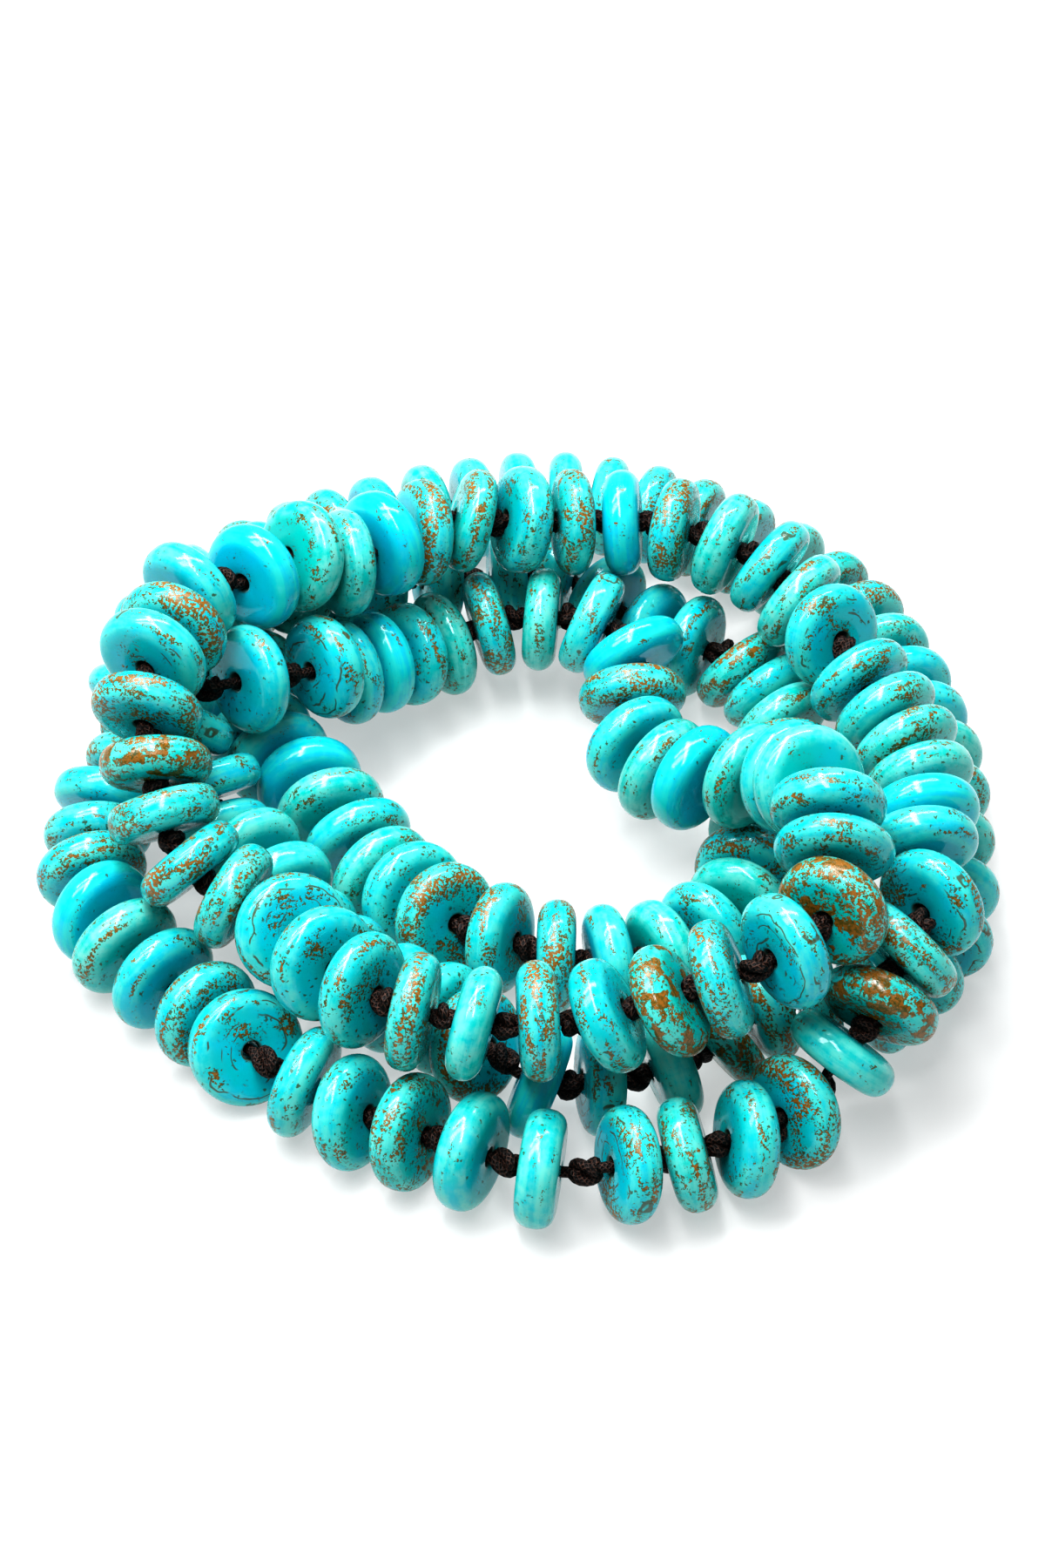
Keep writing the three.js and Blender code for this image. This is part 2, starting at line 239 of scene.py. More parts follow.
def along_rows(marks: np.ndarray, values: np.ndarray, beads: np.ndarray) -> np.ndarray:
    """A closed smooth curve through the rows of a table, read at bead numbers.

    Between two rows it is q + (r - q) h + a u(1-u)^2 - b u^2(1-u), where u runs from 0 to 1,
    h = u^2 (3 - 2u), and the slopes a and b come from the rows beside them.

    Args:
        marks: The bead numbers of the rows.
        values: One column of the table.
        beads: The bead numbers to read it at.

    Returns:
        The value at each bead.
    """
    rows = len(marks)
    i = np.searchsorted(marks, beads, side="right") - 1

    def at(k: np.ndarray) -> tuple[np.ndarray, np.ndarray]:
        """The place and the value of row k, counted round the closed table."""
        return marks[k % rows] + (k // rows) * BEAD_COUNT, values[k % rows]

    (tp, p), (tq, q), (tr, r), (ts, s) = at(i - 1), at(i), at(i + 1), at(i + 2)
    span = tr - tq
    u = (beads - tq) / span
    slope_in = (r - p) / (tr - tp) * span
    slope_out = (s - q) / (ts - tq) * span
    h = u * u * (3 - 2 * u)
    return q + (r - q) * h + slope_in * u * (1 - u) ** 2 - slope_out * u * u * (1 - u)


@dataclass
class Coil:
    """The layout of the string: where each disc lies and which way it faces.

    The sizes are those of the part's solids, so that the discs come to lie where they do. In each
    step a disc is drawn back to the route by a share, pull, and down by a length, sag.
    """

    diameter: float = 0.015
    thickness: float = 0.0052
    clearance: float = 0.0003
    steps: int = 500
    pull: float = 0.05
    sag: float = 0.00002
    contact_rounds: int = 6
    rim: float = field(init=False)
    core: float = field(init=False)
    middles: np.ndarray = field(init=False)
    facing: np.ndarray = field(init=False)

    def __post_init__(self) -> None:
        """Works out the half sizes and lets the string settle."""
        self.rim = self.thickness / 2
        self.core = self.diameter / 2 - self.rim
        self.settle()

    def facings(self, middles: np.ndarray, yaw: np.ndarray, tip: np.ndarray) -> np.ndarray:
        """The facing of each disc: along the line between its neighbours, then tipped and yawed.

        Args:
            middles: The middles of the discs.
            yaw: The turn of each face about the upright, in radians.
            tip: The turn of each face about the level line across it, in radians.

        Returns:
            One unit vector for each disc.
        """
        run = unit(np.roll(middles, -1, axis=0) - np.roll(middles, 1, axis=0))
        across = unit(np.cross(run, UP))
        upright = np.broadcast_to(UP, run.shape)
        return turned(turned(run, across, tip), upright, yaw)

    def nearest(self, points: np.ndarray, middles: np.ndarray, facing: np.ndarray) -> np.ndarray:
        """The points of flat discs that are nearest to given points.

        Each point is dropped onto its disc's plane and drawn in to the disc's radius.

        Args:
            points: One point for each disc.
            middles: The middles of the discs.
            facing: The facings of the discs.

        Returns:
            The nearest point of each disc.
        """
        way = points - middles
        way = way - facing * np.sum(way * facing, axis=1, keepdims=True)
        reach = np.linalg.norm(way, axis=1, keepdims=True)
        return middles + way * np.minimum(1.0, self.core / np.maximum(reach, TINY))

    def settle(self) -> None:
        """Moves pressing discs apart, lets all sag, and draws them back to the route, by steps."""
        beads = np.arange(BEAD_COUNT)
        route, leans = np.array(ROUTE), np.array(LEANS)
        marks, lean_marks = route[:, 0], leans[:, 0]
        home = np.stack([along_rows(marks, route[:, c] / MILLIMETRES, beads) for c in (1, 2, 3)], axis=1)
        home[:, 2] += self.diameter / 2
        yaw, tip = (np.radians(along_rows(lean_marks, leans[:, c], beads)) for c in (1, 2))
        touching = self.thickness + self.clearance
        middles = home.copy()
        for step in range(self.steps):
            facing = self.facings(middles, yaw, tip)
            apart = np.linalg.norm(middles[:, None] - middles[None], axis=2)
            a, b = np.nonzero(np.triu(apart <= self.diameter + self.clearance, 1))
            on_a = middles[a]
            for _ in range(self.contact_rounds):
                on_b = self.nearest(on_a, middles[b], facing[b])
                on_a = self.nearest(on_b, middles[a], facing[a])
            way = on_a - on_b
            gap = np.linalg.norm(way, axis=1)
            press = gap < touching
            a, b, way, gap = a[press], b[press], way[press], gap[press]
            push = way / gap[:, None] * ((touching - gap) / 2)[:, None]
            shift, presses = np.zeros_like(middles), np.zeros(BEAD_COUNT)
            np.add.at(shift, a, push)
            np.add.at(shift, b, -push)
            np.add.at(presses, a, 1)
            np.add.at(presses, b, 1)
            ease = 1 - step / self.steps
            middles = middles + shift / np.maximum(presses, 1)[:, None]
            middles = middles + (home - middles) * self.pull * ease
            standing = self.core * np.sqrt(1 - facing[:, 2] ** 2) + self.rim
            middles[:, 2] = np.maximum(middles[:, 2] - self.sag * ease, standing)
        self.facing = self.facings(middles, yaw, tip)
        reach = self.core * np.sqrt(1 - self.facing[:, :2] ** 2) + self.rim
        low, high = (middles[:, :2] - reach).min(axis=0), (middles[:, :2] + reach).max(axis=0)
        middles[:, :2] -= (low + high) / 2
        self.middles = middles


def grid_mesh(name: str, points: np.ndarray, uv: np.ndarray | None = None) -> bpy.types.Mesh:
    """A mesh of many closed rings of stone or cord, made from whole arrays.

    The points are a block of patches, rows and columns. Columns are joined round, and so are
    rows where the last row meets the first.

    Args:
        name: The mesh's name.
        points: Corners, shaped (patches, rows, columns, 3).
        uv: Lengths along and shares round for each corner, shaped (rows + 1, columns + 1, 2)
            or with a block for each patch before it, or None.

    Returns:
        The mesh, shaded smooth.
    """
    patches, rows, columns = points.shape[:3]
    number = np.arange(patches * rows * columns, dtype=np.int32).reshape(patches, rows, columns)
    below, right = np.roll(number, -1, axis=1), np.roll(number, -1, axis=2)
    corner = np.roll(below, -1, axis=2)
    quads = np.stack([number, right, corner, below], axis=-1).reshape(-1, 4)
    mesh = bpy.data.meshes.new(name)
    mesh.vertices.add(number.size)
    mesh.vertices.foreach_set("co", points.astype(np.float32).ravel())
    mesh.loops.add(quads.size)
    mesh.loops.foreach_set("vertex_index", quads.ravel())
    mesh.polygons.add(len(quads))
    mesh.polygons.foreach_set("loop_start", np.arange(0, quads.size, 4, dtype=np.int32))
    mesh.polygons.foreach_set("use_smooth", np.ones(len(quads), dtype=bool))
    mesh.update(calc_edges=True)
    if uv is not None:
        block = np.broadcast_to(uv, (patches, rows + 1, columns + 1, 2))
        corners = (block[:, :-1, :-1], block[:, :-1, 1:], block[:, 1:, 1:], block[:, 1:, :-1])
        layer = mesh.uv_layers.new(name=BRAID_MAP)
        layer.uv.foreach_set("vector", np.stack(corners, axis=3).astype(np.float32).ravel())
    mesh.validate()
    return mesh


def add_attribute(mesh: bpy.types.Mesh, name: str, values: np.ndarray) -> None:
    """Writes one vector for each vertex of a mesh.

    Args:
        mesh: The mesh.
        name: The attribute's name, as the materials read it.
        values: The vectors, in the order of the vertices.
    """
    layer = mesh.attributes.new(name=name, type="FLOAT_VECTOR", domain="POINT")
    layer.data.foreach_set("vector", values.astype(np.float32).ravel())


def seat(name: str, mesh: bpy.types.Mesh, material: bpy.types.Material) -> bpy.types.Object:
    """Makes a piece of the necklace from a mesh and lets it ride on the part.

    Args:
        name: The piece's name.
        mesh: Its mesh, in the place where it lies.
        material: Its finish.

    Returns:
        The new object.
    """
    piece = bpy.data.objects.new(name, mesh)
    bpy.context.scene.collection.objects.link(piece)
    mesh.materials.append(material)
    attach(piece, "root")
    log.info("%s: %d faces", name, len(mesh.polygons))
    return piece


class Board:
    """A material's node tree, with short ways to put nodes on it and join them."""

    def __init__(self, name: str) -> None:
        """Makes a material with an empty tree and its surface output.

        Args:
            name: The material's name.
        """
        self.material = bpy.data.materials.new(name)
        self.material.use_nodes = True
        self.tree = self.material.node_tree
        self.tree.nodes.clear()
        self.output = self.tree.nodes.new("ShaderNodeOutputMaterial")

    def put(self, kind: str, inputs: dict[str | int, object], **settings: object) -> bpy.types.Node:
        """Adds a node, sets it up and fills its sockets.

        Args:
            kind: The node's type, without the words ShaderNode.
            inputs: Numbers, colours or sockets, by the input's name or number.
            settings: The node's own options.

        Returns:
            The node.
        """
        node = self.tree.nodes.new("ShaderNode" + kind)
        for option, value in settings.items():
            setattr(node, option, value)
        for key, value in inputs.items():
            if isinstance(value, Socket):
                self.tree.links.new(value, node.inputs[key])
            else:
                node.inputs[key].default_value = value
        return node

    def read(self, name: str) -> Socket:
        """The vector that a mesh carries under a name."""
        return self.put("Attribute", {}, attribute_name=name).outputs["Vector"]

    def parts(self, vector: Socket) -> list[Socket]:
        """The three numbers of a vector."""
        return list(self.put("SeparateXYZ", {"Vector": vector}).outputs)

    def sum(self, kind: str, *values: object) -> Socket:
        """A sum, product or the like of two or three numbers, by the Math node's word for it."""
        return self.put("Math", dict(enumerate(values)), operation=kind).outputs[0]

    def vector(self, kind: str, *values: object) -> Socket:
        """A sum, product or the like of vectors, by the Vector Math node's word for it."""
        node = self.put("VectorMath", dict(enumerate(values)), operation=kind)
        return node.outputs["Value" if kind in ("LENGTH", "DOT_PRODUCT") else "Vector"]

    def step(self, value: object, ramp: Ramp) -> Socket:
        """A number led through a smooth rise."""
        inputs = {"Value": value, "From Min": ramp.low, "From Max": ramp.high, "To Max": ramp.top}
        return self.put("MapRange", inputs, interpolation_type="SMOOTHSTEP").outputs["Result"]

    def mix(self, share: object, first: object, second: object) -> Socket:
        """A colour between two colours.

        Args:
            share: How much of the second colour, from 0 to 1.
            first: The colour at 0.
            second: The colour at 1.

        Returns:
            The colour's socket.
        """
        inputs = {MIX_SHARE: share, MIX_FIRST: first, MIX_SECOND: second}
        return self.put("Mix", inputs, data_type="RGBA").outputs[MIX_RESULT]

    def noise(self, at: object, cloud: Cloud, output: str = "Fac") -> Socket:
        """Cloudy noise around a half.

        Args:
            at: Where it is read.
            cloud: The clouds' sizes.
            output: Fac for one number, Color for three.

        Returns:
            The noise's socket.
        """
        inputs = {"Vector": at, "Scale": cloud.scale, "Detail": cloud.detail, "Roughness": cloud.rough}
        return self.put("TexNoise", inputs).outputs[output]

    def scaled(self, value: object, factor: object, more: object = 0.0) -> Socket:
        """A number times a factor, with more added to it."""
        return self.sum("MULTIPLY_ADD", value, factor, more)

    def relief(self, height: object, shape: Relief) -> Socket:
        """The facing of a surface that a pattern raises."""
        inputs = {"Height": height, "Strength": shape.strength, "Distance": shape.height}
        return self.put("Bump", inputs).outputs["Normal"]

    def surface(self, inputs: dict[str | int, object]) -> bpy.types.Material:
        """Finishes the material with one surface.

        Args:
            inputs: Its colour, roughness and the like, by the input's name.

        Returns:
            The material.
        """
        shader = self.put("BsdfPrincipled", inputs)
        self.tree.links.new(shader.outputs["BSDF"], self.output.inputs["Surface"])
        return self.material


@dataclass(frozen=True)
class Specks:
    """Small dark dots in loose clusters: cells whose middles are near, kept where a cloud is thick."""

    ragged: Cloud = Cloud(2.6, 1.0, 0.5)
    bend: float = 0.8
    cells: float = 1.35
    largest: float = 0.40
    edge: Ramp = Ramp(0.0, 0.08)
    cluster: Cloud = Cloud(0.30, 1.0)
    gain: float = 0.36
    shown: Ramp = Ramp(0.57, 0.67)

    def draw(self, board: Board, at: Socket, amount: Socket) -> Socket:
        """Draws the specks.

        Args:
            board: The material's tree.
            at: The place in the stone, in millimetres.
            amount: How many specks the stone has, from 0 to 1.

        Returns:
            How much of a speck there is, from 0 to 1.
        """
        ragged = board.noise(at, self.ragged, "Color")
        bent = board.vector("MULTIPLY_ADD", ragged, (self.bend,) * 3, at)
        cells = board.put("TexVoronoi", {"Vector": bent, "Scale": self.cells})
        size = board.scaled(board.parts(cells.outputs["Color"])[0], self.largest)
        dot = board.step(board.sum("SUBTRACT", size, cells.outputs["Distance"]), self.edge)
        thick = board.step(board.scaled(amount, self.gain, board.noise(at, self.cluster)), self.shown)
        return board.sum("MULTIPLY", dot, thick)


@dataclass(frozen=True)
class Matrix:
    """Ragged patches of matrix, drawn out along the stone's layers and mostly on its rim.

    A wide cloud says where the patches lie, a finer rough one tears them up, and grains fill them.
    """

    wide_scales: Triple = (0.22, 0.22, 0.85)
    wide: Cloud = Cloud(1.0, 1.0)
    wide_gain: float = 0.90
    torn_scales: Triple = (0.9, 0.9, 1.4)
    torn: Cloud = Cloud(2.6, 2.0, 0.75)
    torn_gain: float = 0.70
    rim_gain: float = 0.055
    gain: float = 0.26
    grain: Cloud = Cloud(2.3, 1.0, 0.65)
    grains: Ramp = Ramp(0.42, 0.50)
    shown: Ramp = Ramp(1.055, 1.085)
    rusty: Ramp = Ramp(1.09, 1.19)

    def draw(self, board: Board, at: Socket, rim: Socket, amount: Socket) -> tuple[Socket, Socket]:
        """Draws the matrix.

        Args:
            board: The material's tree.
            at: The place in the stone, in millimetres.
            rim: How near the rim the place is, from 0 to 1.
            amount: How much matrix the stone has, from 0 to 1.

        Returns:
            How much matrix there is and how rusty it is, each from 0 to 1. Its edges are dark.
        """
        wide = board.noise(board.vector("MULTIPLY", at, self.wide_scales), self.wide)
        torn = board.noise(board.vector("MULTIPLY", at, self.torn_scales), self.torn)
        level = board.scaled(wide, self.wide_gain, board.scaled(torn, self.torn_gain))
        level = board.scaled(rim, self.rim_gain, level)
        level = board.scaled(amount, self.gain, level)
        grain = board.step(board.noise(at, self.grain), self.grains)
        return board.sum("MULTIPLY", board.step(level, self.shown), grain), board.step(level, self.rusty)


@dataclass(frozen=True)
class Lines:
    """Thin wavy arcs round the hole: level lines of the radius bent by a smooth cloud, with breaks."""

    waves: Cloud = Cloud(0.24, 2.0, 0.4)
    bend: float = 3.2
    apart: float = 1.7
    thin: Ramp = Ramp(0.08, 0.04)
    breaks: Cloud = Cloud(0.30, 1.0)
    gain: float = 0.50
    shown: Ramp = Ramp(0.97, 1.03)

    def draw(self, board: Board, at: Socket, radius: Socket, amount: Socket) -> Socket:
        """Draws the lines, each where the bent radius is half way between whole steps.

        Args:
            board: The material's tree.
            at: The place in the stone, in millimetres.
            radius: How far the place is from the hole's middle line, in millimetres.
            amount: How lined the stone is, from 0 to 1.

        Returns:
            How much of a line there is, from 0 to 1.
        """
        bent = board.scaled(board.noise(at, self.waves), self.bend, radius)
        share = board.sum("FRACT", board.sum("DIVIDE", bent, self.apart))
        away = board.sum("ABSOLUTE", board.sum("SUBTRACT", share, 0.5))
        shown = board.step(board.scaled(amount, self.gain, board.noise(at, self.breaks)), self.shown)
        return board.sum("MULTIPLY", board.step(away, self.thin), shown)


@dataclass(frozen=True)
class Stains:
    """Wide brown patches with ragged edges, mottled from olive to rust."""

    patches: Cloud = Cloud(0.42, 5.0, 0.62)
    gain: float = 0.22
    shown: Ramp = Ramp(0.69, 0.72)
    mottle: Cloud = Cloud(1.7, 2.0, 0.7)
    mottled: Ramp = Ramp(0.40, 0.60)
    mottle_gain: float = 0.7
    least: float = 0.3

    def draw(self, board: Board, at: Socket, amount: Socket) -> tuple[Socket, Socket]:
        """Draws the stains.

        Args:
            board: The material's tree.
            at: The place in the stone, in millimetres.
            amount: How brown the stone is, from 0 to 1.

        Returns:
            How much stain there is and how rusty it is, each from 0 to 1.
        """
        stain = board.step(board.scaled(amount, self.gain, board.noise(at, self.patches)), self.shown)
        mottle = board.step(board.noise(at, self.mottle), self.mottled)
        return stain, board.sum("MULTIPLY", stain, board.scaled(mottle, self.mottle_gain, self.least))


@dataclass(frozen=True)
class Ground:
    """The stone's colour: blue to green from stone to stone, paler in layers, and at the rim paler still,
    partly by a painted sheen.

    The clouds are broad, middling, and drawn out in bands along the stone's layers. The chalk
    follows the mean of the last two.
    """

    blue: Colour = (0.0, 0.42, 0.59, 1.0)
    green: Colour = (0.0, 0.38, 0.34, 1.0)
    pale: Colour = (0.01, 0.53, 0.49, 1.0)
    chalk: Colour = (0.16, 0.49, 0.43, 1.0)
    broad: Cloud = Cloud(0.2)
    middling: Cloud = Cloud(0.75)
    layers: Triple = (0.08, 0.08, 1.0)
    bands: Cloud = Cloud(1.0)
    greener: Ramp = Ramp(0.34, 0.66)
    green_gain: float = 0.35
    banded: float = 0.80
    cloudy: Ramp = Ramp(0.40, 0.60)
    cloudy_gain: float = 0.80
    cloudy_least: float = 0.10
    # The pale layers lie mostly at the rim, in part as a painted sheen, and only a little on the faces.
    rim_gain: float = 0.92
    face_share: float = 0.03
    # Where the chalk on the rim, partly chalky stone and partly painted sheen, begins and where it is full.
    chalk_and_rim_sheen: Ramp = Ramp(0.36, 0.66)

    def draw(self, board: Board, at: Socket, rim: Socket, chalky: Socket, greenish: Socket) -> Socket:
        """Draws the ground colour.

        Args:
            board: The material's tree.
            at: The place in the stone, in millimetres.
            rim: How near the rim the place is, from 0 to 1.
            chalky: How chalky the stone's rim is, from 0 to 1.
            greenish: How green the stone is, from 0 to 1.

        Returns:
            The colour.
        """
        broad, middling = board.noise(at, self.broad), board.noise(at, self.middling)
        bands = board.noise(board.vector("MULTIPLY", at, self.layers), self.bands)
        greener = board.scaled(board.step(broad, self.greener), self.green_gain, greenish)
        colour = board.mix(greener, self.blue, self.green)
        cloudy = board.scaled(bands, self.banded, board.scaled(middling, 1 - self.banded))
        cloudy = board.scaled(board.step(cloudy, self.cloudy), self.cloudy_gain, self.cloudy_least)
        # Pale layers laid almost only on the rim: partly the stone's pale layers, partly a painted sheen on
        # the rim.
        paler = board.sum("MULTIPLY", cloudy, board.scaled(rim, self.rim_gain, self.face_share))
        colour = board.mix(paler, colour, self.pale)
        # Chalk laid only on the rim: partly chalky stone, partly a painted sheen on the rim.
        chalk_and_rim_sheen = board.step(board.scaled(middling, 0.5, board.scaled(bands, 0.5)), self.chalk_and_rim_sheen)
        chalk_and_rim_sheen = board.sum("MULTIPLY", chalk_and_rim_sheen, board.sum("MULTIPLY", chalky, rim))
        return board.mix(chalk_and_rim_sheen, colour, self.chalk)


@dataclass(frozen=True)
class StoneFinish:
    """Polished turquoise: vivid faces, rims paler partly by a painted sheen, ragged rusty matrix, and dark
    specks.

    The patterns are read in each stone's own millimetres, moved by the stone's own seed. The rim and the
    mouth of the hole are told by the distance from the hole's middle line, and the hole and its mouth are
    painted dark as painted shade.
    """

    ground: Ground = Ground()
    specks: Specks = Specks()
    matrix: Matrix = Matrix()
    lines: Lines = Lines()
    stains: Stains = Stains()
    rust: Colour = (0.23, 0.098, 0.012, 1.0)
    olive: Colour = (0.040, 0.052, 0.006, 1.0)
    line: Colour = (0.065, 0.055, 0.018, 1.0)
    mark_strength: float = 0.85
    rim: Ramp = Ramp(4.6, 6.6)
    # Painted shade in the hole: where it begins, where it is full and how dark.
    mouth: Ramp = Ramp(1.65, 1.2, 0.8)
    polish_scales: Triple = (0.5, 0.5, 5.0)
    polish: Cloud = Cloud(1.4, 1.0)
    roughest: float = 0.22
    polish_rough: float = 0.10
    rough: float = 0.09
    mark_depth: float = -0.5
    line_depth: float = -0.7
    polish_height: float = 0.22
    relief: Relief = Relief(0.3, 0.0001)
    bending: float = 1.5
    glint: Colour = (0.85, 1.0, 1.0, 1.0)

    def material(self) -> bpy.types.Material:
        """Builds the stone's material.

        Returns:
            The material.
        """
        board = Board("polished_turquoise")
        place = board.read("disc_place")
        at = board.vector("ADD", place, board.read("disc_seed"))
        speckled, torn, lined = board.parts(board.read("disc_look"))
        chalky, greenish, brown = board.parts(board.read("disc_tone"))
        radius = board.vector("LENGTH", board.vector("MULTIPLY", place, (1.0, 1.0, 0.0)))
        rim = board.step(radius, self.rim)
        matrix, rusty = self.matrix.draw(board, at, rim, torn)
        stain, stain_rust = self.stains.draw(board, at, brown)
        specks = self.specks.draw(board, at, speckled)
        lines = self.lines.draw(board, at, radius, lined)

        colour = self.ground.draw(board, at, rim, chalky, greenish)
        earthy = board.mix(board.sum("MAXIMUM", rusty, stain_rust), self.olive, self.rust)
        colour = board.mix(board.sum("MAXIMUM", matrix, stain), colour, earthy)
        colour = board.mix(board.scaled(specks, self.mark_strength), colour, self.olive)
        colour = board.mix(board.scaled(lines, self.mark_strength), colour, self.line)
        # Painted shade: the wall of the drilled hole and its mouth darkened with the line colour.
        colour = board.mix(board.step(radius, self.mouth), colour, self.line)

        marks = board.sum("MAXIMUM", matrix, specks)
        polish = board.noise(board.vector("MULTIPLY", at, self.polish_scales), self.polish)
        roughness = board.scaled(marks, self.roughest, board.scaled(polish, self.polish_rough, self.rough))
        height = board.scaled(marks, self.mark_depth, board.scaled(polish, self.polish_height))
        height = board.scaled(lines, self.line_depth, height)
        facing = board.relief(height, self.relief)
        inputs = {"Base Color": colour, "Roughness": roughness, "Normal": facing}
        return board.surface({**inputs, "IOR": self.bending, "Specular Tint": self.glint})


@dataclass(frozen=True)
class CordFinish:
    """Dark brown waxed braid: crossing ridges that follow the cord, with paler crests, partly rubbed and
    partly a painted highlight.
    """

    fibre: Colour = (0.005, 0.0024, 0.002, 1.0)
    # The paler crest colour: partly wear, partly a painted highlight on the ridges.
    rubbed_and_highlit: Colour = (0.095, 0.043, 0.030, 1.0)
    strands: float = 6.0
    pitch: float = 0.62
    fuzz: Cloud = Cloud(2600.0, 2.0)
    fuzz_height: float = 0.3
    crests: Ramp = Ramp(0.72, 1.0)
    rubbed: Ramp = Ramp(0.35, 0.7)
    relief: Relief = Relief(0.9, 0.00014)
    rough: float = 0.55
    shine: float = 0.25

    def ridge(self, board: Board, along: Socket, around: Socket, hand: float) -> Socket:
        """One family of strands: half a sine plus a half, of the angle round and the way along.

        Args:
            board: The material's tree.
            along: Millimetres along the cord.
            around: The share of a turn round the cord.
            hand: 1 for strands that wind one way, -1 for the other.

        Returns:
            The height of the strands, from 0 to 1.
        """
        phase = board.scaled(along, hand / self.pitch, board.scaled(around, self.strands))
        wave = board.sum("SINE", board.scaled(phase, 2 * math.pi))
        return board.scaled(wave, 0.5, 0.5)

    def material(self) -> bpy.types.Material:
        """Builds the cord's material.

        Returns:
            The material.
        """
        board = Board("waxed_braid")
        along, around, _ = board.parts(board.put("UVMap", {}, uv_map=BRAID_MAP).outputs["UV"])
        over = self.ridge(board, along, around, 1.0)
        under = self.ridge(board, along, around, -1.0)
        braid = board.sum("MAXIMUM", over, under)
        fuzz = board.noise(board.put("TexCoord", {}).outputs["Object"], self.fuzz)
        # Paler crests where the braid rises and a cloud says it is rubbed: partly wear, partly a painted
        # highlight on the ridges.
        wear_and_highlight = board.sum("MULTIPLY", board.step(braid, self.crests), board.step(fuzz, self.rubbed))
        facing = board.relief(board.scaled(fuzz, self.fuzz_height, braid), self.relief)
        inputs = {"Base Color": board.mix(wear_and_highlight, self.fibre, self.rubbed_and_highlit), "Normal": facing}
        return board.surface({**inputs, "Roughness": self.rough, "Specular IOR Level": self.shine})


@dataclass(frozen=True)
class StoneSpread:
    """How far the stones differ, each from the least to the most.

    Width and plump are shares of the disc's diameter and thickness, square is the power of the
    rim's curve, flat is the share of the radius where the face ends, oval and wedge are slopes,
    pattern is the room for the seeds in millimetres, and amount multiplies the markings.
    """

    width: Spread = (0.965, 1.0)
    plump: Spread = (0.93, 1.02)
    square: Spread = (2.0, 2.5)
    flat: Spread = (0.58, 0.68)
    usual_wedge: float = 0.012
    wedge: Spread = (-0.025, 0.025)
    oval: Spread = (0.0, 0.010)
    pattern: Spread = (0, 400)
    amount: Spread = (0.8, 1.1)


